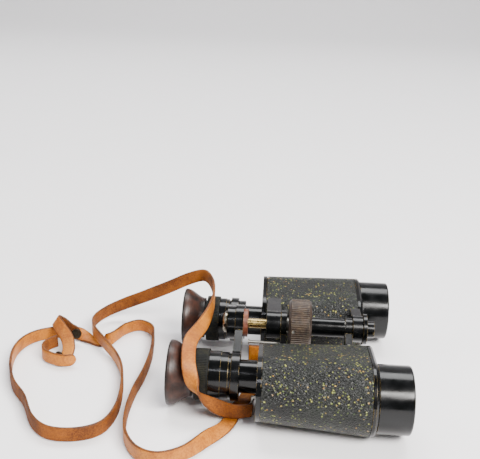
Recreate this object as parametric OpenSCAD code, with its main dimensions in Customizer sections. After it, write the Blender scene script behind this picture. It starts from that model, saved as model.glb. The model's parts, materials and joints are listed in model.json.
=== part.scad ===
// Centre-focus prism binoculars lying on a table, hinge side up, with a leather neck strap.
// X runs along the barrels, eyepieces at -X and objectives at +X. The right barrel is at -Y,
// the left barrel is its mirror image at +Y, and Z is up from the table.

/* [Overall] */
// Length from the eyecup rims to the front of the objective tubes
overall_length = 126; // [118:1:152]
// Distance between the two eyepiece axes as the binoculars lie
eye_spacing = 66.8; // [64:0.2:80.4]
// Distance between the two objective axes
objective_spacing = 103.6; // [101:0.2:125]

/* [Eyepieces] */
// Outer diameter of the eyecup rim
eyecup_d = 35; // [32:0.5:38]
// Length of the flared eyecup
eyecup_length = 13; // [11:0.5:15]
// Outer diameter of the knurled ring behind the eyecup
eye_ring_d = 27.4; // [25:0.2:30]
// Length of the knurled ring
eye_ring_length = 7.6; // [6:0.2:9]
// Outer diameter of the ocular barrel
ocular_barrel_d = 25.4; // [24.6:0.2:28]
// Length of the ocular barrel between ring and collar
ocular_barrel_length = 10.2; // [9:0.2:13]
// Outer diameter of the collar that the bridge arm holds
collar_d = 23.5; // [22:0.5:25]
// Outer diameter of the guide tube that the eyepiece slides on
guide_tube_d = 17.8; // [14.8:0.2:19.6]
// Running clearance on the radius between sliding tubes
running_gap = 0.05; // [0.03:0.01:0.08]

/* [Housings] */
// Length of the prism housing between its covers
housing_length = 55.1; // [50:0.5:66]
// Wall of the prism housing
housing_wall = 2.2; // [1.6:0.1:2.6]
// Thickness of the leather covering
leather_t = 0.8; // [0.5:0.1:1.2]
// Thickness of the ocular cover plate
ocular_cover_t = 2.4; // [1.8:0.1:3.2]
// Thickness of the objective cover plate
objective_cover_t = 3.3; // [2.6:0.1:4]

/* [Objectives] */
// Outer diameter of the objective tube
objective_tube_d = 35.2; // [29.2:0.2:37.6]
// Wall of the objective tube
objective_wall = 1.6; // [1.2:0.1:2]
// Wall of the cell that holds the objective lens
objective_cell_wall = 2; // [1.2:0.1:2.4]

/* [Hinge and focusing] */
// Height of the hinge axis above the table
hinge_z = 32; // [31:0.5:35]
// Diameter of the hinge knuckles
knuckle_d = 15.6; // [14:0.2:18]
// Diameter of the hinge axle
axle_d = 8.4; // [7:0.2:9.4]
// Diameter of the focusing spindle
spindle_d = 5.5; // [4.6:0.1:6]
// Diameter of the focusing wheel
wheel_d = 30; // [26:0.5:31]
// Width of the focusing wheel
wheel_width = 12.6; // [10:0.2:15]
// Number of ribs on the focusing wheel
wheel_ribs = 72; // [40:2:90]
// Number of teeth of the fine knurl on the eyepiece rings
ring_teeth = 90; // [60:2:110]

/* [Strap] */
// Width of the leather strap
strap_width = 8; // [6:0.5:9]
// Thickness of the leather strap
strap_t = 1.5; // [1.1:0.1:1.6]

/* [Hidden] */

$fn = 96;
hull_fn = 64;         // facets of the circles inside a hull
cut = 1;              // how far a cutting solid runs past the face it cuts
gap = 0.3;            // free space between pieces that move past each other
seat = 0.02;          // hair line between pieces that are screwed together

// Stations along X, worked out from the eyecup rim at the left end
rim_x = -overall_length / 2;
front_x = overall_length / 2;
ring_gap = 1.3;       // the right eyecup screws this far towards its ring
cup_end_x = rim_x + eyecup_length;
ring_x = cup_end_x + ring_gap;
ring_end_x = ring_x + eye_ring_length;
collar_length = 5.6;
collar_x = ring_end_x + ocular_barrel_length + 0.2;
collar_end_x = collar_x + collar_length;
tube_show = 10;       // length of guide tube that shows between collar and cover
cover_x = collar_end_x + tube_show;
housing_x = cover_x + ocular_cover_t;
housing_end_x = housing_x + housing_length;
nose_x = housing_end_x + objective_cover_t;

// Axes in the Y-Z plane, given for the left barrel
eye_y = eye_spacing / 2;
eye_z = 17;
objective_y = objective_spacing / 2;
objective_z = 19.5;

// The housing's section is two circles joined by their tangents. It is larger at the
// objective end: [distance from the middle, height, radius]
cover_rim = leather_t + 0.1;      // the covers stand this far proud of the housing
draft = 0.1;                      // taper of a cover's edge, as a casting has
outer_eye_end = [objective_y - 1.3, 21.1, 17.2 - cover_rim];
inner_eye_end = [eye_y - 0.4, 18.9, 16.4 - cover_rim];
outer_front_end = [objective_y, objective_z, objective_z - cover_rim];
inner_front_end = [eye_y - 1.4, 19.3, 17.4 - cover_rim];

// Optical tubes
guide_r = guide_tube_d / 2;
guide_wall = 1.4;
collar_bore_r = guide_r + running_gap;
barrel_r = ocular_barrel_d / 2;
chamber_r = barrel_r - 2;
ring_seat_r = barrel_r - 1;
cell_r = chamber_r - running_gap;
cell_wall = 1;
eye_lens_r = cell_r - cell_wall;
cell_length = 13;
cell_x = cup_end_x - 3;
cell_lip = 1.2;
guide_x = cell_x + cell_length + 2;
tube_r = objective_tube_d / 2;
tube_bore_r = tube_r - objective_wall;
lens_r = tube_bore_r - objective_cell_wall;
tube_foot_r = tube_r - 1;

// Hinge stations
hub_w = 4.4;
right_hub_x = collar_x + 1.5;
left_hub_x = right_hub_x - hub_w - gap;
bridge_t = hub_w;
washer_w = 2.4;
washer_x = right_hub_x + hub_w;
knuckle_x = housing_x + 0.9;
knuckle_w = 8;
flange_x = knuckle_x + knuckle_w + 0.2;
flange_w = 3.3;
wheel_x = flange_x + flange_w + 1;
front_knuckle_w = 5.6;
front_knuckle_x = housing_end_x - front_knuckle_w;
front_flange_w = 4;
front_flange_x = front_knuckle_x - front_flange_w - 0.2;
end_washer_x = housing_end_x + 0.2;
end_washer_w = 2.1;
cap_x = end_washer_x + end_washer_w;
cap_w = 4.3;
cap_r = 4.75;
axle_r = axle_d / 2;
axle_bore_r = spindle_d / 2 + 0.1;
knuckle_bore_r = axle_r + running_gap;

// Porro prisms: each one shifts the light half its long face, at right angles to the other
shift = [objective_y - eye_y, objective_z - eye_z];
shift_1 = [(shift[0] + shift[1]) / 2, (shift[1] - shift[0]) / 2];
shift_2 = [(shift[0] - shift[1]) / 2, (shift[1] + shift[0]) / 2];
prism_half = norm(shift_1);
prism_half_w = 6.6;
rear_prism_x = housing_x + 17;
front_prism_x = housing_x + 30;

// ---- strap route, hand-chosen points: [x, y, z, then the direction of its upper edge] ----
strap_route = [
  [-17.2, -46.2, 4.6, 0, 0, 1],
  [-25, -50, 5.6, 0, 0.1, 1],
  [-33, -49.5, 6.6, 0.1, 0.5, 0.85],
  [-41, -51.5, 12, 0, 1, 0.15],
  [-46.6, -51.2, 17.5, -0.5, 0.8, -0.4],
  [-48.6, -49.6, 22, -0.9, 0.2, -0.2],
  [-50.9, -45.8, 29, -0.95, -0.3, 0.1],
  [-51.8, -38, 34, -0.9, -0.1, 0.3],
  [-51.3, -29, 35.5, -0.9, 0.1, 0.4],
  [-49.8, -16, 33, -0.75, 0.3, 0.6],
  [-47.4, -3, 32, -0.5, 0.2, 0.85],
  [-45, 9, 34, -0.2, 0, 1],
  [-44, 21, 37, 0, 0, 1],
  [-46, 35, 39, 0, 0, 1],
  [-52, 47, 39.5, 0, 0, 1],
  [-62, 49, 36, 0, 0, 1],
  [-75, 50, 29, 0, 0, 1],
  [-91, 56, 19, 0, 0, 1],
  [-106, 59, 11, 0, 0, 1],
  [-117, 54, 7, 0, 0, 1],
  [-122, 42, 6.2, 0, 0, 1],
  [-119, 28, 7, 0, 0, 1],
  [-111, 16, 6.4, 0, 0, 1],
  [-100, 2, 4.2, 0, 0, 1],
  [-93, -14, 4.2, 0, 0, 1],
  [-89, -34, 4.2, 0, 0, 1],
  [-88, -54, 4.2, 0, 0, 1],
  [-92, -69, 4.2, 0, 0, 1],
  [-103, -76, 4.2, 0, 0, 1],
  [-117, -76, 4.2, 0, 0, 1],
  [-128, -67, 4.2, 0, 0, 1],
  [-138, -49, 4.2, 0, 0, 1],
  [-149, -34, 4.2, 0, 0, 1],
  [-157, -15, 4.2, 0, 0, 1],
  [-160, 3, 4.2, 0, 0, 1],
  [-156, 18, 4.2, 0, 0, 1],
  [-144, 27, 4.2, 0, 0, 1],
  [-131, 29, 3.4, 0, 0.4, 0.8],
  [-120, 26, 0.95, 0.2, 1, 0],
  [-112.5, 23, 1.5, 0.4, 0.9, 0.3],
  [-106, 26, 4.2, 0, 0, 1],
  [-101, 37, 4.2, 0, 0, 1],
  [-93, 43, 4.2, 0, 0, 1],
  [-84, 37, 4.2, 0, 0, 1],
  [-81, 22, 4.2, 0, 0, 1],
  [-79.5, 4, 4.2, 0, 0, 1],
  [-80, -16, 4.2, 0, 0, 1],
  [-82, -36, 4.2, 0, 0, 1],
  [-82, -56, 4.2, 0, 0, 1],
  [-79, -74, 4.2, 0, 0, 1],
  [-71, -87, 4.2, 0, 0, 1],
  [-60, -91, 4.2, 0, 0, 1],
  [-48, -85, 4.2, -0.15, 0.1, 1],
  [-38.5, -72, 3.6, -0.55, 0.35, 0.75],
  [-30, -57, 1.2, -0.93, 0.35, 0.1],
  [-26, -42, 0.9, -0.96, 0.26, 0],
  [-21, -29, 0.9, -0.97, 0.25, 0],
  [-18, -18, 1, -1, 0.1, 0],
  [-17.2, -9.4, 4, -1, 0, 0],
  [-17.2, -6.2, 12, -1, 0, 0],
  [-17.2, -6.3, 20.9, -1, 0, 0]];
// The tab folds forward over the strap and curls into a small loop
tab_route = [
  [-126.8, 23.6, 6.8, -0.1, 0, 1],
  [-131.8, 24.3, 8.2, 0, 0, 1],
  [-137.6, 25.8, 11.6, 0.25, 0, 0.97],
  [-141.6, 25.2, 13.6, 0.55, 0, 0.84],
  [-137.6, 19.8, 11.4, 0.78, 0.1, 0.6],
  [-132, 13.2, 8.6, 0.9, 0.1, 0.4],
  [-128.8, 5.4, 5.8, 0.95, 0, 0.3],
  [-128.6, -1.6, 3.4, 1, 0, 0.2]];
tail_route = [
  [-139, 16.6, 4.3, 0, 0, 1],
  [-143.2, 11.4, 4.2, 0, 0, 1],
  [-144.2, 5, 4.2, 0, 0, 1],
  [-141.8, -0.6, 4.2, 0, 0, 1],
  [-136.6, -4.2, 4.2, 0, 0, 1],
  [-131, -6.2, 4.2, 0, 0, 1],
  [-126.4, -6, 4.2, 0, -0.1, 1],
  [-122.2, -3.6, 4.4, 0, -0.1, 1]];
stud_spots = [[-128.4, 22.2, 7, 0], [-132.3, -4.4, 5.2, 162]];   // [x, y, z, turn]

lug_bar_x = cover_x - 2.2;
lug_wire_r = 0.8;
eye_bar = [-4.6, hinge_z - 9.5];   // the inner strap pin passes under the knuckle here
eye_bar_x = cover_x - 6.7;

// ---- colours ----
enamel = "#15171b";
leather_black = "#23261f";
horn = "#3a2620";
worn_brass = "#a98b45";
steel = "#8d8f90";
copper = "#9a5a42";
crown_glass = "#c9dde0";
tan_leather = "#b9783f";

// ---- helpers ----
// A cylinder along +X from x, centred on the given Y and Z
module rod(x, length, r, y = 0, z = 0) {
  translate([x, y, z]) rotate([0, 90, 0]) cylinder(h = length, r = r);
}

module hole_rod(x, length, r_out, r_in, y = 0, z = 0) {
  difference() {
    rod(x, length, r_out, y, z);
    rod(x - cut, length + 2 * cut, r_in, y, z);
  }
}

// The right barrel is drawn directly, the left one is its mirror image
module side(which) {
  if (which == "left") mirror([0, 1, 0]) children();
  else children();
}

function section_at(x, eye_end, front_end) =
  eye_end + (front_end - eye_end) * (x - housing_x) / housing_length;

disc_t = 0.01;        // thickness of the discs that a hull is stretched over
module section_disc(x, section, grow) {
  translate([x, -section[0], section[1]]) rotate([0, 90, 0])
    cylinder(h = disc_t, r = section[2] + grow, $fn = hull_fn);
}

// The tapered housing shape between two stations, grown or shrunk all round
module body_shape(x0, x1, grow = 0) {
  hull() {
    section_disc(x0, section_at(x0, outer_eye_end, outer_front_end), grow);
    section_disc(x0, section_at(x0, inner_eye_end, inner_front_end), grow);
    section_disc(x1 - disc_t, section_at(x1, outer_eye_end, outer_front_end), grow);
    section_disc(x1 - disc_t, section_at(x1, inner_eye_end, inner_front_end), grow);
  }
}

// A cover plate of one end's section. Each station is [x, how far it stands proud]
module plate_shape(outer, inner, stations) {
  hull() for (section = [outer, inner], s = stations)
    section_disc(s[0] - disc_t, section, s[1]);
}

// Outline of a ribbed wheel: ribs stand between shallow grooves
module ribbed_outline(r, count, depth) {
  step = 360 / count;
  polygon([for (i = [0 : count - 1], part = [0 : 3])
    let (a = (i + part * 0.25) * step, rr = part < 2 ? r : r - depth)
    rr * [cos(a), sin(a)]]);
}

module ribbed_rod(x, length, r, count, depth, y = 0, z = 0) {
  translate([x, y, z]) rotate([0, 90, 0]) linear_extrude(height = length)
    ribbed_outline(r, count, depth);
}

// ---- housings ----
// Room for a barrel's two lug feet in its leather
module lug_feet(left_side) {
  if (left_side) {
    lug_foot(knuckle_x - seat, knuckle_w + 2 * seat, left_ocular_foot);
    lug_foot(front_knuckle_x - seat, front_knuckle_w + 2 * seat, left_objective_foot);
  } else {
    lug_foot(flange_x - seat, flange_w + 2 * seat, right_ocular_foot);
    lug_foot(front_flange_x - seat, front_flange_w + 2 * seat, right_objective_foot);
  }
}

module housing() {
  color(enamel) difference() {
    body_shape(housing_x, housing_end_x);
    body_shape(housing_x - cut, housing_end_x + cut, -housing_wall);
  }
}

module leather(left_side = false) {
  color(leather_black) difference() {
    body_shape(housing_x + 0.3, housing_end_x - 0.3, leather_t);
    body_shape(housing_x - cut, housing_end_x + cut, seat);
    lug_feet(left_side);
  }
}

module ocular_cover() {
  color(enamel) difference() {
    plate_shape(outer_eye_end, inner_eye_end, [
      [cover_x + disc_t, cover_rim - draft],
      [housing_x - seat, cover_rim]]);
    rod(cover_x - cut, ocular_cover_t + 2 * cut, guide_r, -eye_y, eye_z);
    cover_screw_holes(cover_x);
  }
}

nose_round = 2.2;     // rounded shoulder of the objective cover
module objective_cover() {
  lip = objective_cover_t * 0.45;
  color(enamel) difference() {
    plate_shape(outer_front_end, inner_front_end, [
      [housing_end_x + seat + disc_t, cover_rim - draft],
      [housing_end_x + lip, cover_rim],
      [housing_end_x + objective_cover_t * 0.8, cover_rim - nose_round * 0.35],
      [nose_x, cover_rim - nose_round]]);
    rod(housing_end_x - cut, objective_cover_t + 2 * cut, tube_foot_r, -objective_y, objective_z);
    // leaves room for the washer and cap on the hinge end
    rod(housing_end_x - cut, 12, knuckle_d / 2 + 1.6, 0, hinge_z);
  }
}

screw_head_r = 1.4;
function cover_screw_spots() = [
  [-outer_eye_end[0] - 8, outer_eye_end[1] + 8.5],
  [-outer_eye_end[0] - 8, outer_eye_end[1] - 8.5],
  [-inner_eye_end[0] + 9.5, inner_eye_end[1] - 7.5]];

module cover_screw_holes(x) {
  for (p = cover_screw_spots())
    rod(x - cut, cut + 0.9, screw_head_r + seat, p[0], p[1]);
}

// Three slotted screws hold the ocular cover down
module cover_screws() {
  color(steel) for (p = cover_screw_spots()) difference() {
    rod(cover_x - 0.1, 1, screw_head_r, p[0], p[1]);
    translate([cover_x - 0.1 - cut, p[0] - 2, p[1] - 0.2]) cube([cut + 0.4, 4, 0.4]);
  }
}

// ---- prisms ----
// A right-angled prism with its long face across X; reach points to its ridge
module prism_wedge(x, centre, along, reach) {
  turn = atan2(along[1], -along[0]);
  translate([x, -centre[0], centre[1]]) rotate([turn, 0, 0])
    translate([0, 0, -prism_half_w]) linear_extrude(height = 2 * prism_half_w)
      polygon([[0, -prism_half], [reach * prism_half, 0], [0, prism_half]]);
}

function rear_prism_centre() = [objective_y, objective_z] - shift_1 / 2;
function front_prism_centre() = [eye_y, eye_z] + shift_2 / 2;
prism_play = 0.6;

module prism_rear() {
  color(crown_glass) intersection() {
    prism_wedge(rear_prism_x, rear_prism_centre(), shift_1, -1);
    body_shape(housing_x, housing_end_x, -housing_wall - prism_play);
  }
}

module prism_front() {
  color(crown_glass) intersection() {
    prism_wedge(front_prism_x, front_prism_centre(), shift_2, 1);
    body_shape(housing_x, housing_end_x, -housing_wall - prism_play);
  }
}

// A spring strip over each prism's ridge, with a foot at each side
clip_t = 0.6;
clip_w = 5;
module clip(x, centre, along, reach) {
  turn = atan2(along[1], -along[0]);
  span = prism_half * 0.62;
  top = prism_half + 0.1;
  translate([x, -centre[0], centre[1]]) rotate([turn, 0, 0])
    translate([0, 0, -clip_w / 2]) linear_extrude(height = clip_w)
      polygon([[reach * (top - span + 0.5), -span], [reach * (top + 0.4), -0.3],
        [reach * (top + 0.4), 0.3], [reach * (top - span + 0.5), span],
        [reach * (top - span + 0.5 + clip_t), span + clip_t], [reach * (top + clip_t + 0.4), 0.6],
        [reach * (top + clip_t + 0.4), -0.6],
        [reach * (top - span + 0.5 + clip_t), -span - clip_t]]);
}

module prism_clips() {
  color(steel) intersection() {
    union() {
      clip(rear_prism_x, rear_prism_centre(), shift_1, -1);
      clip(front_prism_x, front_prism_centre(), shift_2, 1);
    }
    body_shape(housing_x + 0.4, housing_end_x - 0.4, -housing_wall - 0.2);
  }
}

// ---- objectives ----
module objective_tube() {
  color(enamel) difference() {
    union() {
      rod(housing_end_x + 0.4, nose_x - housing_end_x, tube_foot_r - seat, -objective_y, objective_z);
      rod(nose_x + seat, front_x - nose_x - seat - 1, tube_r, -objective_y, objective_z);
      translate([front_x - 1, -objective_y, objective_z]) rotate([0, 90, 0])
        rotate_extrude() polygon([[tube_bore_r, 0], [tube_r, 0], [tube_r - 0.25, 0.7],
          [tube_r - 0.9, 1], [tube_bore_r, 1]]);
    }
    rod(housing_end_x, front_x - housing_end_x + cut, tube_bore_r, -objective_y, objective_z);
  }
}

cell_ring_x = nose_x + 1;
module objective_cell() {
  color("#2b2b2b") translate([cell_ring_x, -objective_y, objective_z]) rotate([0, 90, 0])
    rotate_extrude() polygon([[lens_r - 1, 0], [tube_bore_r - 0.02, 0], [tube_bore_r - 0.02, 8],
      [lens_r + 0.02, 8], [lens_r + 0.02, 1], [lens_r - 1, 1]]);
}

// The two cemented elements of the objective, as one lens-shaped solid of revolution
module lens(x, r, y, z, thickness, bulge_left, bulge_right) {
  steps = 6;
  translate([x, y, z]) rotate([0, 90, 0]) rotate_extrude()
    polygon(concat([[0, -bulge_left]],
      [for (i = [1 : steps]) let (t = i / steps) [r * t, -bulge_left * (1 - t * t)]],
      [for (i = [0 : steps]) let (t = 1 - i / steps)
        [r * t, thickness + bulge_right * (1 - t * t)]]));
}

module objective_lens() {
  color(crown_glass)
    lens(cell_ring_x + 1.2, lens_r, -objective_y, objective_z, 4.5, 0.9, 1.6);
}

module objective_ring() {
  color("#2b2b2b")
    hole_rod(cell_ring_x + 6.15, 1.8, lens_r, lens_r - 1.6, -objective_y, objective_z);
}

// ---- ocular side ----
module guide_tube() {
  color(enamel) difference() {
    union() {
      rod(guide_x, housing_x - guide_x - 0.1, guide_r, -eye_y, eye_z);
      rod(housing_x + 0.05, 1.2, guide_r + 2, -eye_y, eye_z);
      rod(guide_x, housing_x - guide_x + 1, guide_r - 0.3, -eye_y, eye_z);
    }
    rod(guide_x - cut, 60, guide_r - guide_wall, -eye_y, eye_z);
  }
}

// Slides on the guide tube: ring seat, barrel with two fine steps, and collar
module ocular_barrel(arm_x) {
  collar_start = arm_x - 1.5;
  step_x = min(ring_end_x + ocular_barrel_length * 0.62, collar_start - 1.6);
  color(enamel) difference() {
    union() {
      rod(ring_x + 0.4, ring_end_x - ring_x, ring_seat_r, -eye_y, eye_z);
      rod(ring_end_x + 0.2, step_x - ring_end_x - 0.2, barrel_r, -eye_y, eye_z);
      rod(step_x, collar_start - step_x, barrel_r - 0.35, -eye_y, eye_z);
      rod(collar_start - 0.01, collar_end_x - collar_start, collar_d / 2, -eye_y, eye_z);
    }
    rod(ring_x - cut, collar_start - ring_x + cut - 0.6, chamber_r, -eye_y, eye_z);
    rod(ring_x, 60, collar_bore_r, -eye_y, eye_z);
    // groove that takes the end of the bridge arm
    hole_rod(arm_x - 0.2, bridge_t + 0.4, collar_d / 2 + cut, collar_d / 2 - 0.8,
      -eye_y, eye_z);
  }
}

module eye_ring() {
  color("#1b1b1a") difference() {
    union() {
      ribbed_rod(ring_x + 0.8, eye_ring_length - 1.6, eye_ring_d / 2, ring_teeth, 0.25,
        -eye_y, eye_z);
      rod(ring_x, 0.8, eye_ring_d / 2 - 0.15, -eye_y, eye_z);
      rod(ring_end_x - 0.8, 0.8, eye_ring_d / 2 - 0.05, -eye_y, eye_z);
    }
    rod(ring_x - cut, eye_ring_length + 2 * cut, ring_seat_r + running_gap, -eye_y, eye_z);
  }
}

neck_r = 12.2;
cup_hole_r = 7;
cup_lip = 1;          // length of the rounded rim
cup_wall = 2;
function flare(t) = (1 + cos(180 * t)) / 2;
// The eyecup flares from its neck to the rim on an S curve
module eyecup() {
  steps = 10;
  rim_r = eyecup_d / 2;
  run = eyecup_length - cup_lip;
  color(horn) translate([rim_x, -eye_y, eye_z]) rotate([0, 90, 0]) rotate_extrude()
    polygon(concat(
      [[rim_r - cup_wall, 0.2], [rim_r - cup_wall / 2, 0], [rim_r - 0.2, 0.3], [rim_r, cup_lip]],
      [for (i = [1 : steps]) let (t = i / steps)
        [neck_r + (rim_r - neck_r) * flare(t), cup_lip + run * t]],
      [[cell_r + 0.02, eyecup_length], [cell_r + 0.02, eyecup_length - 3.02],
        [cup_hole_r, eyecup_length - 3.02], [cup_hole_r, eyecup_length - 4.5]],
      [for (i = [steps - 1 : -1 : 1]) let (t = i / steps)
        [cup_hole_r + (rim_r - cup_wall - cup_hole_r) * flare(t),
          0.5 + (eyecup_length - 5.2) * t]]));
}

module lens_cell() {
  color("#222222") difference() {
    rod(cell_x, cell_length, cell_r, -eye_y, eye_z);
    rod(cell_x + cell_lip, cell_length, eye_lens_r, -eye_y, eye_z);
    rod(cell_x - cut, cell_length, eye_lens_r - 2, -eye_y, eye_z);
  }
}

module eye_lens() {
  color(crown_glass)
    lens(cell_x + cell_lip + 0.02, eye_lens_r - seat, -eye_y, eye_z, 2.6, 0, 1.8);
}

module field_lens() {
  color(crown_glass)
    lens(cell_x + cell_length - 3.2, eye_lens_r - seat, -eye_y, eye_z, 2, 1.2, 0.4);
}

// ---- hinge ----
// A bearing ring on the hinge axis with an arm that ends on the housing
// A flat foot between the hinge and a housing, its outline as [height, y] points
module lug_foot(x, width, outline) {
  translate([x + width, 0, 0]) rotate([0, -90, 0]) linear_extrude(height = width)
    polygon(outline);
}

module lug(x, width, ring_r, outline) {
  color(enamel) difference() {
    union() {
      rod(x, width, ring_r, 0, hinge_z);
      lug_foot(x, width, outline);
    }
    rod(x - cut, width + 2 * cut, knuckle_bore_r, 0, hinge_z);
    body_shape(housing_x - 2 * cut, housing_end_x + 2 * cut, seat);
  }
}

// The left barrel carries the wide outer knuckles, the right one the flanges between them.
// Both are drawn on the right side here, and side() mirrors the left ones.
knuckle_r = knuckle_d / 2;
left_ocular_foot = [[hinge_z + knuckle_r - 1.6, -3], [hinge_z + 4.2, -eye_y + 6.9],
  [hinge_z + 1, -eye_y + 4.4], [eye_z + 9, -eye_y + 9.4], [hinge_z - knuckle_r + 0.4, -4],
  [hinge_z, 0]];
left_objective_foot = [[hinge_z + knuckle_r - 2.6, -3], [hinge_z + 4.4, -eye_y + 15.9],
  [hinge_z + 3, -eye_y + 14.4], [hinge_z - 4, -eye_y + 11.9], [eye_z + 5, -eye_y + 11.4],
  [hinge_z - knuckle_r + 0.6, -4], [hinge_z, 0]];
right_ocular_foot = [[hinge_z - 2, -7.8], [hinge_z - 5.6, -12], [hinge_z - 6, -eye_y + 9.4],
  [eye_z - 1, -eye_y + 13.4], [hinge_z - 11.4, -3], [hinge_z, 0]];
right_objective_foot = [[hinge_z, -5.8], [hinge_z - 3.5, -13], [hinge_z - 4, -eye_y + 9.4],
  [eye_z, -eye_y + 13.4], [hinge_z - 8, -3], [hinge_z, 0]];

module left_lugs(which) {
  if (which == "ocular") lug(knuckle_x, knuckle_w, knuckle_r, left_ocular_foot);
  else lug(front_knuckle_x, front_knuckle_w, knuckle_r - 0.3, left_objective_foot);
}

module right_lugs(which) {
  if (which == "ocular") lug(flange_x, flange_w, knuckle_r + 0.4, right_ocular_foot);
  else difference() {
    lug(front_flange_x, front_flange_w, knuckle_r - 1.7, right_objective_foot);
    lug_screw_shape(seat);
  }
}

// Small screw on the foot of the right objective lug
module lug_screw_shape(grow = 0) {
  translate([front_flange_x + 1.8, -15, hinge_z - 5.2]) cylinder(h = 2.4, r = 1.2 + grow);
}

module right_lug_screw() {
  color(steel) difference() {
    lug_screw_shape();
    translate([front_flange_x, -15.15, hinge_z - 3.2]) cube([4, 0.3, 1]);
  }
}

module hinge_axle() {
  color(steel) hole_rod(knuckle_x + 0.4, cap_x - knuckle_x - 0.4, axle_r, axle_bore_r, 0, hinge_z);
}

module axle_tube() {
  color(enamel) hole_rod(wheel_x + wheel_width + gap, front_flange_x - wheel_x - wheel_width - 2 * gap,
    axle_r + 1.1, axle_r + seat, 0, hinge_z);
}

module hinge_washer() {
  color(enamel) hole_rod(end_washer_x, end_washer_w, knuckle_d / 2 + 0.9, axle_r + seat, 0, hinge_z);
}

module hinge_end_cap() {
  color(enamel) difference() {
    rod(cap_x + seat, cap_w, cap_r, 0, hinge_z);
    translate([cap_x + cap_w - 1, -cap_r - cut, hinge_z - 0.4]) cube([2, 2 * cap_r + 2 * cut, 0.8]);
  }
}

// ---- focusing ----
wheel_edge = 1.3;
module focus_wheel() {
  color("#5a4433") difference() {
    union() {
      ribbed_rod(wheel_x + wheel_edge, wheel_width - 2 * wheel_edge, wheel_d / 2, wheel_ribs, 0.4,
        0, hinge_z);
      for (end = [0, 1])
        translate([end == 0 ? wheel_x : wheel_x + wheel_width, 0, hinge_z])
          rotate([0, end == 0 ? 90 : -90, 0]) rotate_extrude()
            polygon([[0, 0], [wheel_d / 2 - 1.6, 0], [wheel_d / 2 - 0.3, wheel_edge],
              [0, wheel_edge]]);
    }
    rod(wheel_x - cut, wheel_width + 2 * cut, axle_r + running_gap, 0, hinge_z);
    translate([wheel_x + 2.6, 0, hinge_z]) rotate([wheel_screw_turn, 0, 0])
      translate([0, 0, wheel_d / 2 - 3]) cylinder(h = 4, r = 1 + seat);
  }
}

wheel_screw_turn = 78;
module wheel_screw() {
  color(steel) translate([wheel_x + 2.6, 0, hinge_z]) rotate([wheel_screw_turn, 0, 0])
    difference() {
      translate([0, 0, wheel_d / 2 - 2.95]) cylinder(h = 2.2, r = 1);
      translate([-2, -0.15, wheel_d / 2 - 1.2]) cube([4, 0.3, 1]);
    }
}

spindle_reach = 26;
module focus_spindle() {
  color(worn_brass)
    rod(left_hub_x - 0.4, knuckle_x + spindle_reach - left_hub_x, spindle_d / 2, 0, hinge_z);
}

module copper_washer() {
  color(copper) hole_rod(washer_x + seat, washer_w, 7.9, spindle_d / 2 + seat, 0, hinge_z);
}

module bridge_nut() {
  color(steel) difference() {
    translate([left_hub_x - 0.2, 0, hinge_z]) rotate([0, -90, 0]) rotate_extrude()
      polygon([[0, 0.22], [6, 0.22], [6, 1.4], [5, 2.3], [3, 2.6], [0, 2.6]]);
    rod(left_hub_x - 0.42, 2, spindle_d / 2 + seat, 0, hinge_z);
    translate([left_hub_x - 3.4, -7, hinge_z - 0.5]) cube([1.2, 14, 1]);
  }
}

hub_r = 9.4;
// A flat arm from the spindle to the groove in the eyepiece collar
module bridge_arm(x, hub_radius) {
  reach = [-eye_y, eye_z - hinge_z];
  length = norm(reach);
  angle = atan2(-reach[0], -reach[1]);
  color(enamel) difference() {
    union() {
      rod(x, bridge_t, hub_radius, 0, hinge_z);
      translate([x, 0, hinge_z]) rotate([-angle, 0, 0])
        translate([0, -4.6, -length]) cube([bridge_t, 9.2, length]);
      rod(x, bridge_t, collar_d / 2 + 1.6, -eye_y, eye_z);
    }
    rod(x - cut, bridge_t + 2 * cut, collar_d / 2 + seat, -eye_y, eye_z);
    rod(x - cut, bridge_t + 2 * cut, spindle_d / 2 + running_gap, 0, hinge_z);
  }
}

// ---- strap hardware ----
// Wire eye at the lower outer corner of the right ocular cover
module strap_lug() {
  top = 11.2;
  y = -(eye_y + guide_tube_d / 2 + lug_wire_r + 1.1);   // just clear of the guide tube
  color(steel) union() {
    translate([lug_bar_x, y, 1]) cylinder(h = top - 1, r = lug_wire_r);
    translate([lug_bar_x, y, top]) rotate([0, 90, 0])
      cylinder(h = cover_x - lug_bar_x - seat, r = lug_wire_r);
    translate([lug_bar_x, y, top]) sphere(r = lug_wire_r);
    translate([lug_bar_x, y, 1]) sphere(r = lug_wire_r);
  }
}

// Pin under the hinge, from the right lug, that the inner end of the strap is sewn round
module strap_eye() {
  color(steel) union() {
    rod(eye_bar_x, flange_x - eye_bar_x - seat, 0.9, eye_bar[0], eye_bar[1]);
    rod(eye_bar_x, 0.7, 1.6, eye_bar[0], eye_bar[1]);
  }
}

// ---- strap ----
// The route was chosen for eyepieces 33.4 from the middle and a cover at -15.1, and it moves
// with both: along X with the cover, and outwards with the eyepieces and the lug
route_eye_y = 33.4;
route_cover_x = -15.1;
function share(v, low, high) = min(max((v - low) / (high - low), 0), 1);
function place(p) = [
  p[0] + cover_x - route_cover_x,
  p[1] + (eye_y - route_eye_y) * max(share(p[0], -28, -40), share(p[1], -36, -42))
    * (2 * share(p[1], -20, 20) - 1),
  p[2]];
function edge(p) = [p[3], p[4], p[5]];
function unit(v) = v / norm(v);
function held(route, i) = route[min(max(i, 0), len(route) - 1)];
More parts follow.
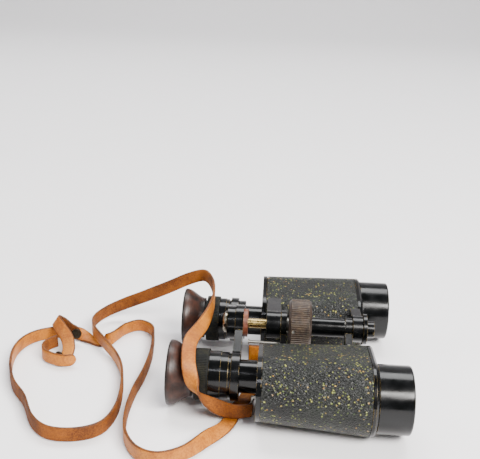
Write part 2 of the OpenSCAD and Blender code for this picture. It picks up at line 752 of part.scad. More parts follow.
// Eight-sided flat section: long along the edge direction, thin across it
flat_section = [[1, 0.5], [0.94, 1], [-0.94, 1], [-1, 0.5], [-1, -0.5], [-0.94, -1],
  [0.94, -1], [1, -0.5]];
function strap_ring(route, i) =
  let (p = held(route, i),
    forward = unit(place(held(route, i + 1)) - place(held(route, i - 1))),
    across = unit(cross(forward, edge(p))), up = cross(across, forward),
    ring = [for (q = flat_section)
      place(p) + up * strap_width / 2 * q[0] + across * strap_t / 2 * q[1]],
    sunk = min([for (q = ring) q[2]]))
  // a ring that would sink into the table lies on it
  [for (q = ring) q + [0, 0, max(-sunk, 0)]];

// A strap swept along a route, one ring at each of its points
module swept_strap(route) {
  sides = len(flat_section);
  last = len(route) - 1;
  polyhedron(points = [for (i = [0 : last]) each strap_ring(route, i)], faces = concat(
    [[for (k = [0 : sides - 1]) k]],
    [for (i = [0 : last - 1], k = [0 : sides - 1])
      let (k2 = (k + 1) % sides)
      each [[i * sides + k, (i + 1) * sides + k, (i + 1) * sides + k2],
        [i * sides + k, (i + 1) * sides + k2, i * sides + k2]]],
    [[for (k = [sides - 1 : -1 : 0]) last * sides + k]]));
}

module strap() {
  color(tan_leather) swept_strap(strap_route);
}

// The folded tab that joins the strap's two ends, and the rounded tail beside its loop
module strap_tab() {
  color(tan_leather) {
    swept_strap(tab_route);
    swept_strap(tail_route);
  }
}

stud_r = 3.1;
stud_h = 1.2;
module strap_studs() {
  color(steel) for (p = stud_spots)
    translate(place(p)) rotate([90, 0, p[3]]) cylinder(h = stud_h, r = stud_r);
}

housing();  // right_housing
leather();  // right_leather
ocular_cover();  // right_ocular_cover
objective_cover();  // right_objective_cover
cover_screws();  // right_cover_screws
prism_front();  // right_prism_front
prism_rear();  // right_prism_rear
prism_clips();  // right_prism_clips
objective_tube();  // right_objective_tube
objective_cell();  // right_objective_cell
objective_lens();  // right_objective_lens
objective_ring();  // right_objective_ring
guide_tube();  // right_guide_tube
right_lugs("ocular");  // right_ocular_lug
right_lugs("objective");  // right_objective_lug
right_lug_screw();
side("left") housing();  // left_housing
side("left") leather(true);  // left_leather
side("left") ocular_cover();  // left_ocular_cover
side("left") objective_cover();  // left_objective_cover
side("left") cover_screws();  // left_cover_screws
side("left") prism_front();  // left_prism_front
side("left") prism_rear();  // left_prism_rear
side("left") prism_clips();  // left_prism_clips
side("left") objective_tube();  // left_objective_tube
side("left") objective_cell();  // left_objective_cell
side("left") objective_lens();  // left_objective_lens
side("left") objective_ring();  // left_objective_ring
side("left") guide_tube();  // left_guide_tube
side("left") left_lugs("ocular");  // left_ocular_lug
side("left") left_lugs("objective");  // left_objective_lug
ocular_barrel(right_hub_x);  // right_ocular_barrel
eye_ring();  // right_diopter_ring
eyecup();  // right_eyecup
lens_cell();  // right_lens_cell
eye_lens();  // right_eye_lens
field_lens();  // right_field_lens
side("left") ocular_barrel(left_hub_x);  // left_ocular_barrel
side("left") eye_ring();  // left_eye_ring
side("left") eyecup();  // left_eyecup
side("left") lens_cell();  // left_lens_cell
side("left") eye_lens();  // left_eye_lens
side("left") field_lens();  // left_field_lens
hinge_axle();
axle_tube();
hinge_washer();
hinge_end_cap();
focus_wheel();
wheel_screw();
focus_spindle();
copper_washer();
bridge_nut();
bridge_arm(right_hub_x, hub_r + 0.6);  // right_bridge_arm
side("left") bridge_arm(left_hub_x, hub_r);  // left_bridge_arm
strap_lug();
strap_eye();
strap();
strap_tab();
strap_studs();
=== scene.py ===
# Prism binoculars lying on a table, hinge side up, with their leather neck strap.
import json
import math

import bmesh
import bpy
from mathutils import Matrix, Vector, noise

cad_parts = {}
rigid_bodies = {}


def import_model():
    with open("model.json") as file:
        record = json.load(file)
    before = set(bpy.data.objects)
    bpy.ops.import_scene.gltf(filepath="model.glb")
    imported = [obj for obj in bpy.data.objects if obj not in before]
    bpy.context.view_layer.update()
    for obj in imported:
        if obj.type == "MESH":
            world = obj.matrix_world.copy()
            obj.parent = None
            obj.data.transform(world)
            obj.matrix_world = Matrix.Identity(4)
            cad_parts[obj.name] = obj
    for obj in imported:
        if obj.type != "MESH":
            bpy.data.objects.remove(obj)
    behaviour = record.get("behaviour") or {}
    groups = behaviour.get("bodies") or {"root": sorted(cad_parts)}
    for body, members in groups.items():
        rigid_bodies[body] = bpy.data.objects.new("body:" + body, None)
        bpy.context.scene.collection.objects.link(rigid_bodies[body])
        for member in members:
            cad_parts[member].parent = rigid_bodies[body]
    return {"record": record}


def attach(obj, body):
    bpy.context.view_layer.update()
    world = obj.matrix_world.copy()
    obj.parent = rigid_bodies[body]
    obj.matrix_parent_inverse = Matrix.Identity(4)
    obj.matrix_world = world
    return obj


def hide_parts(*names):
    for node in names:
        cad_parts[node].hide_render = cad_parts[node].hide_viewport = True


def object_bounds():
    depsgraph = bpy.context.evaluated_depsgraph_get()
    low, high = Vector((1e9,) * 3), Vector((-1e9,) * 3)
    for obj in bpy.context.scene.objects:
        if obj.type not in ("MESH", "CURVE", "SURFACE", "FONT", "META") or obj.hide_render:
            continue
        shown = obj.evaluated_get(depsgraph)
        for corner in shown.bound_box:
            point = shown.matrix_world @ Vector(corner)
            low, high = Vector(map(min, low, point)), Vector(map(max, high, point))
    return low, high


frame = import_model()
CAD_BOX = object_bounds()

MM = 0.001
BEVEL_SAMPLES = 6

# ---------------------------------------------------------------- camera
# A normal lens less than half a metre away, looking down on the table along +Y
EYE = Vector((-10.473, -388.902, 230.188)) * MM
YAW, PITCH, ROLL = 0.047, 0.349, 0.034
LENS = 56.82


def place_camera():
    """The one camera, turned by YAW and PITCH and then tilted by ROLL, in radians."""
    forward = Vector((-math.sin(YAW) * math.cos(PITCH), math.cos(YAW) * math.cos(PITCH),
                      -math.sin(PITCH)))
    level = Vector((math.cos(YAW), math.sin(YAW), 0))
    upward = level.cross(forward)
    right = level * math.cos(ROLL) + upward * math.sin(ROLL)
    up = upward * math.cos(ROLL) - level * math.sin(ROLL)
    data = bpy.data.cameras.new("camera")
    data.lens = LENS
    data.sensor_width = 36
    data.clip_start = 0.01
    data.clip_end = 20
    camera = bpy.data.objects.new("camera", data)
    bpy.context.collection.objects.link(camera)
    turn = Matrix((right, up, -forward)).transposed().to_4x4()
    camera.matrix_world = Matrix.Translation(EYE) @ turn
    bpy.context.scene.camera = camera


place_camera()


# ---------------------------------------------------------------- helpers for finishes
def linear(code):
    """An sRGB hex colour as the linear one that a shader takes."""
    parts = [int(code[i:i + 2], 16) / 255 for i in (1, 3, 5)]
    return tuple(c / 12.92 if c <= 0.04045 else ((c + 0.055) / 1.055) ** 2.4
                 for c in parts) + (1,)


def add(tree, kind, sockets=(), **settings):
    """Adds a node. settings are its own, sockets are its inputs' values or links."""
    node = tree.nodes.new("ShaderNode" + kind)
    for name, value in settings.items():
        setattr(node, name, value)
    for name, value in dict(sockets).items():
        if isinstance(value, bpy.types.NodeSocket):
            tree.links.new(value, node.inputs[name])
        else:
            node.inputs[name].default_value = value
    return node


def start_finish(name, **sockets):
    """A new material with its shader, the shader's plain values set on its own sockets."""
    finish = bpy.data.materials.new(name)
    finish.use_nodes = True
    tree = finish.node_tree
    shader = tree.nodes["Principled BSDF"]
    for socket, value in sockets.items():
        shader.inputs[socket.replace("_", " ")].default_value = value
    place = add(tree, "TexCoord").outputs["Object"]
    return finish, tree, shader, place


def give(tree, shader, **values):
    """Drives the shader's sockets with values that vary over the surface."""
    for socket, value in values.items():
        tree.links.new(value, shader.inputs[socket.replace("_", " ")])


def grain(tree, place, size_mm, detail=3.0, roughness=0.55, distortion=0.0):
    """Cloudy variation whose blotches are about size_mm across."""
    return add(tree, "TexNoise", {"Vector": place, "Scale": 1 / (size_mm * MM), "Detail": detail,
                                  "Roughness": roughness, "Distortion": distortion}).outputs["Fac"]


def between(tree, value, low, high, to_low=0.0, to_high=1.0):
    """Stretches the part of value from low to high over to_low to to_high."""
    return add(tree, "MapRange", {"Value": value, "From Min": low, "From Max": high,
                                  "To Min": to_low, "To Max": to_high}).outputs["Result"]


def sums(tree, operation, first, second):
    """Arithmetic on two values."""
    return add(tree, "Math", {0: first, 1: second}, operation=operation).outputs[0]


def tinted(tree, amount, low, high):
    """One colour turning into another as amount goes from 0 to 1."""
    return add(tree, "Mix", {"Factor": amount, "A": low, "B": high},
               data_type="RGBA").outputs["Result"]


def edges_rubbed(tree, place, reach_mm, patch_mm):
    """1 on corners that hands and the case have rubbed, 0 on flat ground. It comes in patches
    about patch_mm across."""
    still_flat, fully_turned = 0.985, 0.90
    ground = add(tree, "NewGeometry").outputs["Normal"]
    rounded = add(tree, "Bevel", {"Radius": reach_mm * MM},
                  samples=BEVEL_SAMPLES).outputs["Normal"]
    turned = add(tree, "VectorMath", {0: ground, 1: rounded},
                 operation="DOT_PRODUCT").outputs["Value"]
    corner = between(tree, turned, still_flat, fully_turned)
    patches = between(tree, grain(tree, place, patch_mm, 4), 0.46, 0.6)
    return sums(tree, "MULTIPLY", corner, patches)


def turned_rings(tree, place, apart_mm, wobble, detail):
    """Soft rings round the barrels' direction, apart_mm from one to the next."""
    repeats_per_unit = 20 / (2 * math.pi)
    return add(tree, "TexWave", {"Vector": place, "Scale": 1 / (apart_mm * MM * repeats_per_unit),
                                 "Distortion": wobble, "Detail": detail},
               bands_direction="X").outputs["Fac"]


def relief(tree, shader, height, depth_mm, rounding_mm=0.0):
    """Presses a height into the surface, on corners rounded by rounding_mm."""
    sockets = {"Height": height, "Distance": depth_mm * MM, "Strength": 1.0}
    if rounding_mm:
        sockets["Normal"] = add(tree, "Bevel", {"Radius": rounding_mm * MM},
                                samples=BEVEL_SAMPLES).outputs["Normal"]
    give(tree, shader, Normal=add(tree, "Bump", sockets).outputs["Normal"])


# ---------------------------------------------------------------- finishes
def stoved_enamel():
    """Black stoved enamel on turned and cast brass, polished by handling. It reflects like
    wet ink, and the brass shows as a thin warm line where edges have rubbed through."""
    finish, tree, shader, place = start_finish("stoved_black_enamel", IOR=1.52,
                                               Specular_IOR_Level=0.3)
    worn = edges_rubbed(tree, place, 0.3, 5.0)
    smears = grain(tree, place, 7, 5, 0.6)
    black = tinted(tree, between(tree, smears, 0.35, 0.7), linear("#020303"), linear("#07080a"))
    colour = tinted(tree, worn, black, linear("#9c8550"))
    give(tree, shader, Base_Color=colour)
    give(tree, shader, Metallic=sums(tree, "MULTIPLY", worn, 0.85))
    fine = grain(tree, place, 0.6, 4, 0.7)
    rough = sums(tree, "ADD", between(tree, smears, 0.3, 0.75, 0.12, 0.28),
                 sums(tree, "MULTIPLY", worn, 0.14))
    give(tree, shader, Roughness=rough)
    relief(tree, shader, sums(tree, "ADD", sums(tree, "MULTIPLY", smears, 0.7),
                              sums(tree, "MULTIPLY", fine, 0.3)), 0.012, 0.25)
    return finish


def pebbled_covering():
    """Morocco-grained black leatherette glued on the housings. Pebbles about a millimetre
    across catch the light one by one, and the brass-coloured undercoat shows as specks where
    their tops have rubbed away."""
    finish, tree, shader, place = start_finish("pebbled_black_covering", IOR=1.5,
                                               Specular_IOR_Level=0.32)
    sideways = 1.2 * MM
    warp = add(tree, "TexNoise", {"Vector": place, "Scale": 1 / (2.2 * MM), "Detail": 2.0})
    shifted = add(tree, "MixRGB", {"Fac": sideways, "Color1": place,
                                   "Color2": warp.outputs["Color"]}, blend_type="ADD").outputs[0]
    # pebbles with creases between them, a little longer along the barrels
    longer = add(tree, "VectorMath", {0: shifted, 1: (0.72, 1.0, 1.0)},
                 operation="MULTIPLY").outputs[0]
    creases = add(tree, "TexVoronoi", {"Vector": longer, "Scale": 1 / (1.25 * MM)},
                  feature="DISTANCE_TO_EDGE").outputs["Distance"]
    # height is the pebbles' relief for the bump, and it also sets the painted shade in the creases
    # below
    height = between(tree, creases, 0.02, 0.3)
    fine = grain(tree, place, 0.35, 3, 0.6)
    ground = grain(tree, place, 13, 4, 0.6)
    # painted shade: the creases between the pebbles are coloured darker than the pebble tops
    covering_colour_with_crease_shade = tinted(tree, height, linear("#020302"), linear("#0c0f0c"))
    covering_colour_with_crease_shade = tinted(tree, between(tree, ground, 0.4, 0.68, 0.0, 0.55), covering_colour_with_crease_shade, linear("#1a1f18"))
    # specks: pebble tops rubbed down to the undercoat, in drifts with bare ground between them
    patches = grain(tree, place, 15, 3, 0.55)
    chance = between(tree, patches, 0.38, 0.62, 0.86, 0.2)
    total, tint = None, None
    for spacing_mm, inner, outer in ((1.55, 0.16, 0.36), (2.6, 0.1, 0.24)):
        dots = add(tree, "TexVoronoi", {"Vector": shifted, "Scale": 1 / (spacing_mm * MM)},
                   feature="F1")
        own = add(tree, "SeparateColor", {"Color": dots.outputs["Color"]})
        dot = between(tree, dots.outputs["Distance"], outer, inner)
        chosen = sums(tree, "GREATER_THAN", own.outputs["Red"], chance)
        speck = sums(tree, "MULTIPLY", sums(tree, "MULTIPLY", dot, chosen),
                     between(tree, own.outputs["Green"], 0.0, 0.8, 0.35, 1.0))
        total = speck if total is None else sums(tree, "MAXIMUM", total, speck)
        tint = tint or own
    speck = sums(tree, "MULTIPLY", total, between(tree, fine, 0.32, 0.5, 0.5, 1.0))
    olive = tinted(tree, tint.outputs["Green"], linear("#4c6434"), linear("#9c9d48"))
    gold = between(tree, tint.outputs["Blue"], 0.66, 0.9)
    warm = tinted(tree, gold, olive, linear("#b5883f"))
    give(tree, shader, Base_Color=tinted(tree, speck, covering_colour_with_crease_shade, warm))
    give(tree, shader, Roughness=between(tree, fine, 0.3, 0.7, 0.32, 0.5))
    both = sums(tree, "ADD", sums(tree, "MULTIPLY", height, 0.88),
                sums(tree, "MULTIPLY", fine, 0.12))
    relief(tree, shader, both, 0.3)
    return finish


def moulded_ebonite():
    """Black moulded ebonite, faded brown by light and rubbed by the brow. It shows reddish
    smears under a waxy gloss, and stays near black at the rim."""
    rim_end, rim_start = -62.7 * MM, -60.6 * MM
    finish, tree, shader, place = start_finish("faded_brown_ebonite", IOR=1.55,
                                               Specular_IOR_Level=0.3)
    along = add(tree, "SeparateXYZ", {"Vector": place}).outputs["X"]
    smear = grain(tree, place, 9, 5, 0.65, 0.6)
    brown = tinted(tree, between(tree, smear, 0.35, 0.68), linear("#0c0706"), linear("#3f2318"))
    rim = between(tree, along, rim_end, rim_start, 1.0, 0.0)
    give(tree, shader, Base_Color=tinted(tree, rim, brown, linear("#0a0908")))
    give(tree, shader, Roughness=between(tree, smear, 0.3, 0.7, 0.46, 0.34))
    rings = turned_rings(tree, place, 5.655, 1.5, 2.0)
    relief(tree, shader, sums(tree, "ADD", sums(tree, "MULTIPLY", smear, 0.6),
                              sums(tree, "MULTIPLY", rings, 0.1)), 0.12, 0.3)
    return finish


def matt_knurl():
    """Matt black lacquer over a rolled straight knurl. It looks dry and sooty, with olive brass
    on the corners that fingers have rubbed."""
    finish, tree, shader, place = start_finish("matt_black_knurl", IOR=1.5, Specular_IOR_Level=0.2)
    worn = edges_rubbed(tree, place, 0.3, 3.0)
    dust = grain(tree, place, 1.4, 4, 0.6)
    black = tinted(tree, dust, linear("#060706"), linear("#121311"))
    thinned = sums(tree, "MULTIPLY", worn, 0.7)
    give(tree, shader, Base_Color=tinted(tree, thinned, black, linear("#47432a")))
    give(tree, shader, Roughness=between(tree, dust, 0.3, 0.7, 0.5, 0.7))
    give(tree, shader, Metallic=sums(tree, "MULTIPLY", worn, 0.5))
    relief(tree, shader, dust, 0.03, 0.12)
    return finish


def instrument_black():
    """Flat black brushed inside the tubes to stop stray light, so it shows no reflections."""
    finish, tree, shader, place = start_finish("instrument_black", IOR=1.45)
    dust = grain(tree, place, 0.8, 4, 0.6)
    give(tree, shader, Base_Color=tinted(tree, dust, linear("#060606"), linear("#161616")))
    give(tree, shader, Roughness=between(tree, dust, 0.3, 0.7, 0.6, 0.85))
    relief(tree, shader, dust, 0.04)
    return finish


def dull_steel():
    """Turned steel screws and bent steel clips, dulled by age. Brown spots break up their soft
    grey shine."""
    finish, tree, shader, place = start_finish("dull_turned_steel", Metallic=1.0)
    spots = grain(tree, place, 1.2, 5, 0.7)
    brown = between(tree, spots, 0.5, 0.75)
    give(tree, shader, Base_Color=tinted(tree, brown, linear("#a9a7a0"), linear("#5d5348")))
    give(tree, shader, Roughness=between(tree, spots, 0.3, 0.7, 0.25, 0.5))
    relief(tree, shader, spots, 0.03, 0.15)
    return finish


def dark_stud():
    """Iron rivet heads, blackened in hot oil and rubbed by the strap, so they glint a little."""
    finish, tree, shader, place = start_finish("blackened_rivet", Metallic=1.0)
    spots = grain(tree, place, 0.8, 4, 0.6)
    give(tree, shader, Base_Color=tinted(tree, spots, linear("#17140f"), linear("#4a4238")))
    give(tree, shader, Roughness=between(tree, spots, 0.3, 0.7, 0.3, 0.55))
    relief(tree, shader, spots, 0.05, 0.2)
    return finish


def worn_nickel():
    """A nickel-plated nut whose black has flaked off. The plating shines dully, and the pits
    that still hold the black look brown."""
    finish, tree, shader, place = start_finish("worn_nickel_plate", Metallic=1.0)
    patch = between(tree, grain(tree, place, 2.6, 5, 0.7), 0.42, 0.56)
    give(tree, shader, Base_Color=tinted(tree, patch, linear("#14120f"), linear("#9c9686")))
    give(tree, shader, Roughness=between(tree, patch, 0.0, 1.0, 0.45, 0.28))
    relief(tree, shader, patch, 0.05, 0.3)
    return finish


def patinated_brass():
    """Knurled brass whose lacquer has gone chocolate brown. Fingers have worn the ribs paler
    and shinier than the grooves."""
    finish, tree, shader, place = start_finish("patinated_brown_brass", IOR=1.5)
    worn = edges_rubbed(tree, place, 0.3, 2.4)
    blotch = grain(tree, place, 3.2, 5, 0.65)
    brown = tinted(tree, between(tree, blotch, 0.32, 0.7), linear("#1a130f"), linear("#45352a"))
    thinned = sums(tree, "MULTIPLY", worn, 0.8)
    give(tree, shader, Base_Color=tinted(tree, thinned, brown, linear("#80705a")))
    give(tree, shader, Metallic=sums(tree, "ADD", between(tree, blotch, 0.3, 0.7, 0.1, 0.35),
                                     sums(tree, "MULTIPLY", worn, 0.5)))
    give(tree, shader, Roughness=between(tree, blotch, 0.3, 0.7, 0.5, 0.34))
    relief(tree, shader, blotch, 0.06, 0.12)
    return finish


def bright_brass():
    """Turned brass kept bright by sliding in its nut. A thin film of old oil makes it shine
    unevenly, and the lathe left the faintest of rings."""
    finish, tree, shader, place = start_finish("bright_turned_brass", Metallic=1.0)
    rings = turned_rings(tree, place, 3.1416, 0.2, 1.0)
    film = grain(tree, place, 2.2, 4, 0.6)
    clean = between(tree, film, 0.3, 0.7)
    give(tree, shader, Base_Color=tinted(tree, clean, linear("#7f6c40"), linear("#b8a068")))
    give(tree, shader, Roughness=between(tree, film, 0.3, 0.7, 0.2, 0.34))
    relief(tree, shader, rings, 0.0004, 0.1)
    return finish


def fibre_washer():
    """A washer punched from red vulcanised fibre. It is matt, with dark blotches of grease."""
    finish, tree, shader, place = start_finish("red_vulcanised_fibre", IOR=1.5)
    stain = grain(tree, place, 1.6, 4, 0.6)
    clean = between(tree, stain, 0.3, 0.7)
    give(tree, shader, Base_Color=tinted(tree, clean, linear("#4a2415"), linear("#7d4630")))
    give(tree, shader, Roughness=between(tree, stain, 0.3, 0.7, 0.38, 0.6))
    relief(tree, shader, stain, 0.05, 0.15)
    return finish


def crown_glass():
    """Ground and polished crown glass. It is clear, and faint dust dulls its shine."""
    finish, tree, shader, place = start_finish("polished_crown_glass", IOR=1.52,
                                               Transmission_Weight=1.0)
    dust = grain(tree, place, 2.5, 5, 0.6)
    give(tree, shader, Base_Color=tinted(tree, dust, linear("#eef5f3"), linear("#dfe9e6")))
    give(tree, shader, Roughness=between(tree, dust, 0.4, 0.8, 0.02, 0.1))
    return finish


def strap_leather(name, light, dark, nap):
    """Vegetable-tanned cowhide. The grain side is a smooth orange tan with a soft shine, the
    flesh side a browner nap, the cut edges are burnished dark."""
    finish, tree, shader, place = start_finish(name, IOR=1.48, Specular_IOR_Level=0.3)
    cloud = grain(tree, place, 14, 5, 0.6)
    fibre = grain(tree, place, 0.8 if nap else 1.1, 5, 0.7)
    spots = grain(tree, place, 3.0, 4, 0.65)
    mixed = sums(tree, "ADD", sums(tree, "MULTIPLY", cloud, 0.5),
                 sums(tree, "MULTIPLY", fibre, 0.5))
    hide = tinted(tree, between(tree, mixed, 0.42, 0.58), linear(dark), linear(light))
    hide = tinted(tree, between(tree, spots, 0.62, 0.74, 0.0, 0.45), hide, linear("#5c3014"))
    give(tree, shader, Base_Color=hide)
    rough = (0.72, 0.9) if nap else (0.42, 0.62)
    give(tree, shader, Roughness=between(tree, fibre, 0.3, 0.7, *rough))
    pores = add(tree, "TexVoronoi", {"Vector": place, "Scale": 1 / (0.55 * MM)}, feature="F1")
    relief(tree, shader, sums(tree, "ADD", sums(tree, "MULTIPLY", fibre, 0.6),
                              sums(tree, "MULTIPLY", pores.outputs["Distance"], 0.4)),
           0.14 if nap else 0.08)
    return finish


FINISH = {
    "black_enamel": stoved_enamel(), "pebbled_leather": pebbled_covering(),
    "optical_glass": crown_glass(), "brown_bakelite": moulded_ebonite(),
    "matt_knurled_ring": matt_knurl(), "blackened_brass": instrument_black(),
    "bare_steel": dull_steel(), "blackened_steel": dark_stud(), "worn_nickel": worn_nickel(),
    "worn_knurled_brass": patinated_brass(), "bright_brass": bright_brass(),
    "red_fibre": fibre_washer(),
    "tan_leather": strap_leather("strap_leather_grain", "#b5701f", "#8a4a10", False),
}
# grain side, flesh side and cut edge
STRAP_FINISHES = [
    FINISH["tan_leather"],
    strap_leather("strap_leather_flesh", "#874a0f", "#4f2706", True),
    strap_leather("strap_leather_edge", "#74400f", "#422006", False),
]
GRAIN_SIDE, FLESH_SIDE, CUT_EDGE = range(3)


# ---------------------------------------------------------------- strap
# The strap's middle line and the direction of its upper edge, in millimetres
STRAP_ROUTE = [
    (-17.2, -46.2, 4.6, 0, 0, 1), (-25, -50, 5.6, 0, 0.1, 1), (-33, -49.5, 6.6, 0.1, 0.5, 0.85),
    (-41, -51.5, 12, 0, 1, 0.15), (-46.6, -51.2, 17.5, -0.5, 0.8, -0.4),
    (-48.6, -49.6, 22, -0.9, 0.2, -0.2), (-50.9, -45.8, 29, -0.95, -0.3, 0.1),
    (-51.8, -38, 34, -0.9, -0.1, 0.3), (-51.3, -29, 35.5, -0.9, 0.1, 0.4),
    (-49.8, -16, 33, -0.75, 0.3, 0.6), (-47.4, -3, 32, -0.5, 0.2, 0.85),
    (-45, 9, 34, -0.2, 0, 1), (-44, 21, 37, 0, 0, 1), (-46, 35, 39, 0, 0, 1),
    (-52, 47, 39.5, 0, 0, 1), (-62, 49, 36, 0, 0, 1), (-75, 50, 29, 0, 0, 1),
    (-91, 56, 19, 0, 0, 1), (-106, 59, 11, 0, 0, 1), (-117, 54, 7, 0, 0, 1),
    (-122, 42, 6.2, 0, 0, 1), (-119, 28, 7, 0, 0, 1), (-111, 16, 6.4, 0, 0, 1),
    (-100, 2, 4.2, 0, 0, 1), (-93, -14, 4.2, 0, 0, 1), (-89, -34, 4.2, 0, 0, 1),
    (-88, -54, 4.2, 0, 0, 1), (-92, -69, 4.2, 0, 0, 1), (-103, -76, 4.2, 0, 0, 1),
    (-117, -76, 4.2, 0, 0, 1), (-128, -67, 4.2, 0, 0, 1), (-138, -49, 4.2, 0, 0, 1),
    (-149, -34, 4.2, 0, 0, 1), (-157, -15, 4.2, 0, 0, 1), (-160, 3, 4.2, 0, 0, 1),
    (-156, 18, 4.2, 0, 0, 1), (-144, 27, 4.2, 0, 0, 1), (-131, 29, 3.4, 0, 0.4, 0.8),
    (-120, 26, 0.95, 0.2, 1, 0), (-112.5, 23, 1.5, 0.4, 0.9, 0.3), (-106, 26, 4.2, 0, 0, 1),
    (-101, 37, 4.2, 0, 0, 1), (-93, 43, 4.2, 0, 0, 1), (-84, 37, 4.2, 0, 0, 1),
    (-81, 22, 4.2, 0, 0, 1), (-79.5, 4, 4.2, 0, 0, 1), (-80, -16, 4.2, 0, 0, 1),
    (-82, -36, 4.2, 0, 0, 1), (-82, -56, 4.2, 0, 0, 1), (-79, -74, 4.2, 0, 0, 1),
    (-71, -87, 4.2, 0, 0, 1), (-60, -91, 4.2, 0, 0, 1), (-48, -85, 4.2, -0.15, 0.1, 1),
    (-38.5, -72, 3.6, -0.55, 0.35, 0.75), (-30, -57, 1.2, -0.93, 0.35, 0.1),
    (-26, -42, 0.9, -0.96, 0.26, 0), (-21, -29, 0.9, -0.97, 0.25, 0), (-18, -18, 1, -1, 0.1, 0),
    (-17.2, -9.4, 4, -1, 0, 0), (-17.2, -6.2, 12, -1, 0, 0), (-17.2, -6.3, 20.9, -1, 0, 0)]
TAB_ROUTE = [
    (-126.8, 23.6, 6.8, -0.1, 0, 1), (-131.8, 24.3, 8.2, 0, 0, 1),
    (-137.6, 25.8, 11.6, 0.25, 0, 0.97), (-141.6, 25.2, 13.6, 0.55, 0, 0.84),
    (-137.6, 19.8, 11.4, 0.78, 0.1, 0.6), (-132, 13.2, 8.6, 0.9, 0.1, 0.4),
    (-128.8, 5.4, 5.8, 0.95, 0, 0.3), (-128.6, -1.6, 3.4, 1, 0, 0.2)]
TAIL_ROUTE = [
    (-139, 16.6, 4.3, 0, 0, 1), (-143.2, 11.4, 4.2, 0, 0, 1), (-144.2, 5, 4.2, 0, 0, 1),
    (-141.8, -0.6, 4.2, 0, 0, 1), (-136.6, -4.2, 4.2, 0, 0, 1), (-131, -6.2, 4.2, 0, 0, 1),
    (-126.4, -6, 4.2, 0, -0.1, 1), (-122.2, -3.6, 4.4, 0, -0.1, 1)]
STRAP_WIDTH, STRAP_THICK = 8, 1.5
STRAP_STEP, END_STEP = 1.2, 0.5


def smooth_route(route, step_mm):
    """Points about step_mm apart on a smooth curve through the route, each with the
    direction of the band's upper edge there."""
    knots = [(Vector(p[:3]), Vector(p[3:]).normalized()) for p in route]
    out = []
    for i in range(len(knots) - 1):
        a, b, c, d = (knots[min(max(i + k, 0), len(knots) - 1)] for k in (-1, 0, 1, 2))
        steps = max(1, round((c[0] - b[0]).length / step_mm))
        for s in range(steps):
            t = s / steps
            rows = [0.5 * (2 * b[j] + (c[j] - a[j]) * t
                           + (2 * a[j] - 5 * b[j] + 4 * c[j] - d[j]) * t * t
                           + (3 * b[j] - a[j] - 3 * c[j] + d[j]) * t ** 3) for j in (0, 1)]
            out.append((rows[0], rows[1].normalized()))
    out.append(knots[-1])
    return out


def new_piece(name, bm, finishes):
    """An object in the scene, made from mesh code."""
    mesh = bpy.data.meshes.new(name)
    bm.to_mesh(mesh)
    bm.free()
    piece = bpy.data.objects.new(name, mesh)
    bpy.context.collection.objects.link(piece)
    for finish in finishes:
        mesh.materials.append(finish)
    return piece


def swept_band(name, route, width, thick, step_mm, round_ends=(False, False)):
    """A leather band with burnished, slightly rounded cut edges, swept along a route. A ring
    that would sink into the table is lifted onto it, and an end may be cut round."""
    cut_wanders, wanders_per_mm, narrowest_end = 0.02, 0.06, 0.12
    points = smooth_route(route, step_mm)
    # the section: along the width and across the thickness, both as shares of half of each
    section = [(1, 0.0), (0.97, 0.72), (0.9, 0.97), (0.45, 1.0), (0, 0.96), (-0.45, 1.0),
               (-0.9, 0.97), (-0.97, 0.72), (-1, 0), (-0.97, -0.72), (-0.9, -0.97),
               (-0.45, -1.0), (0, -1), (0.45, -1.0), (0.9, -0.97), (0.97, -0.72)]
    on_grain_side, on_flesh_side = range(2, 6), range(10, 14)
    bm = bmesh.new()
    rows = []
    last = len(points) - 1
    gone = [0.0]
    for (p, _), (q, _) in zip(points, points[1:]):
        gone.append(gone[-1] + (q - p).length)
    for i, (p, edge) in enumerate(points):
        forward = (points[min(i + 1, last)][0] - points[max(i - 1, 0)][0]).normalized()
        across = forward.cross(edge).normalized()
        up = across.cross(forward)
        # the cut is never dead straight: the width wanders a little
        reach = width / 2 * (1 + cut_wanders * noise.noise(p * wanders_per_mm))
        for is_round, from_end in zip(round_ends, (gone[i], gone[-1] - gone[i])):
            if is_round and from_end < width / 2:
                reach *= max(narrowest_end, math.sqrt(1 - (1 - from_end / (width / 2)) ** 2))
        ring = [p + up * (reach * wide) + across * (thick / 2 * deep) for wide, deep in section]
        sunk = max(0.0, -min(v.z for v in ring))
        rows.append([bm.verts.new((v + Vector((0, 0, sunk))) * MM) for v in ring])
    sides = len(section)
    for a, b in zip(rows, rows[1:]):
        for k in range(sides):
            face = bm.faces.new((a[k], b[k], b[(k + 1) % sides], a[(k + 1) % sides]))
            face.smooth = True
            face.material_index = (GRAIN_SIDE if k in on_grain_side
                                   else FLESH_SIDE if k in on_flesh_side else CUT_EDGE)
    for row in (rows[0], list(reversed(rows[-1]))):
        bm.faces.new(row).material_index = CUT_EDGE
    bmesh.ops.recalc_face_normals(bm, faces=bm.faces)
    piece = new_piece(name, bm, STRAP_FINISHES)
    return piece, [p * MM for p, _ in points]


strap, strap_line = swept_band("neck_strap", STRAP_ROUTE, STRAP_WIDTH, STRAP_THICK, STRAP_STEP)
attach(strap, "right_barrel")
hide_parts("strap")
tab, _ = swept_band("strap_joining_tab", TAB_ROUTE, STRAP_WIDTH, STRAP_THICK, END_STEP,
                    (True, False))
tail, _ = swept_band("strap_tail", TAIL_ROUTE, STRAP_WIDTH, STRAP_THICK, END_STEP, (False, True))
for piece in (tab, tail):
    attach(piece, "right_barrel")
    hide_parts("strap_tab")

# ---------------------------------------------------------------- carried-over CAD nodes
for part in frame["record"]["subparts"]:
    cad = bpy.data.objects[part["node"]]
    finish = FINISH[part["material_slot"]]
    if not cad.material_slots:
        cad.data.materials.append(finish)
    for slot in cad.material_slots:
        slot.material = finish


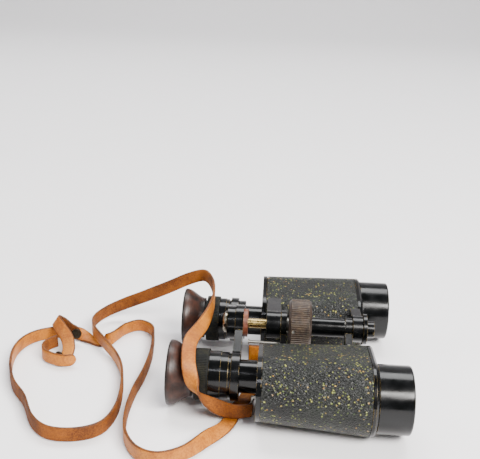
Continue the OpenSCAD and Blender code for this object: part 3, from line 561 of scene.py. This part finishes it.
# ---------------------------------------------------------------- table and light
def lay_table():
    """A table covered with white matt paper that sweeps up behind in one curve. Its faint
    mottle keeps it from looking like a flat colour, and no edge shows behind the object."""
    half, bend_start, bend, wall_top, steps = 4.0, 1.9, 1.2, 4.0, 24
    profile = [(-half, 0.0)]
    for i in range(steps + 1):
        turn = math.radians(90 * i / steps)
        profile.append((bend_start + bend * math.sin(turn), bend * (1 - math.cos(turn))))
    profile.append((bend_start + bend, wall_top))
    bm = bmesh.new()
    rows = [[bm.verts.new((x, y, z)) for x in (-half, half)] for y, z in profile]
    for a, b in zip(rows, rows[1:]):
        bm.faces.new((a[0], a[1], b[1], b[0])).smooth = True
    table = new_piece("table_top", bm, ())
    table.location.z = CAD_BOX[0].z
    finish, tree, shader, place = start_finish("table_paper", Roughness=0.6)
    mottle = grain(tree, place, 40, 3)
    give(tree, shader, Base_Color=tinted(tree, mottle, linear("#faf8fa"), linear("#fdfcfd")))
    table.data.materials.append(finish)


def softbox(name, spot, aim, size, watts, colour):
    """A rectangular lamp at spot, turned to face aim, in metres."""
    data = bpy.data.lights.new(name, "AREA")
    data.shape = "RECTANGLE"
    data.size, data.size_y = size
    data.energy = watts
    data.color = linear(colour)[:3]
    lamp = bpy.data.objects.new(name, data)
    bpy.context.collection.objects.link(lamp)
    lamp.location = spot
    lamp.rotation_euler = (Vector(aim) - Vector(spot)).to_track_quat("-Z", "Y").to_euler()


lay_table()
softbox("window_right", (0.66, -0.8, 1.0), (0.05, 0, 0.02), (0.95, 0.5), 60, "#fdfaf6")
softbox("ceiling", (0.1, 1.0, 2.2), (0, 0.1, 0), (2.4, 1.0), 84, "#ffffff")
softbox("window_left", (-0.14, -0.77, 0.92), (-0.04, 0, 0), (0.035, 0.09), 0.5, "#f4f6ff")
softbox("fill_left", (-1.9, 0.3, 1.3), (-0.05, 0, 0), (0.8, 0.8), 16, "#fbfaff")
room = bpy.data.worlds.new("room")
room.use_nodes = True
glow = room.node_tree.nodes["Background"]
glow.inputs["Color"].default_value = linear("#e9e7ea")
glow.inputs["Strength"].default_value = 0.28
bpy.context.scene.world = room
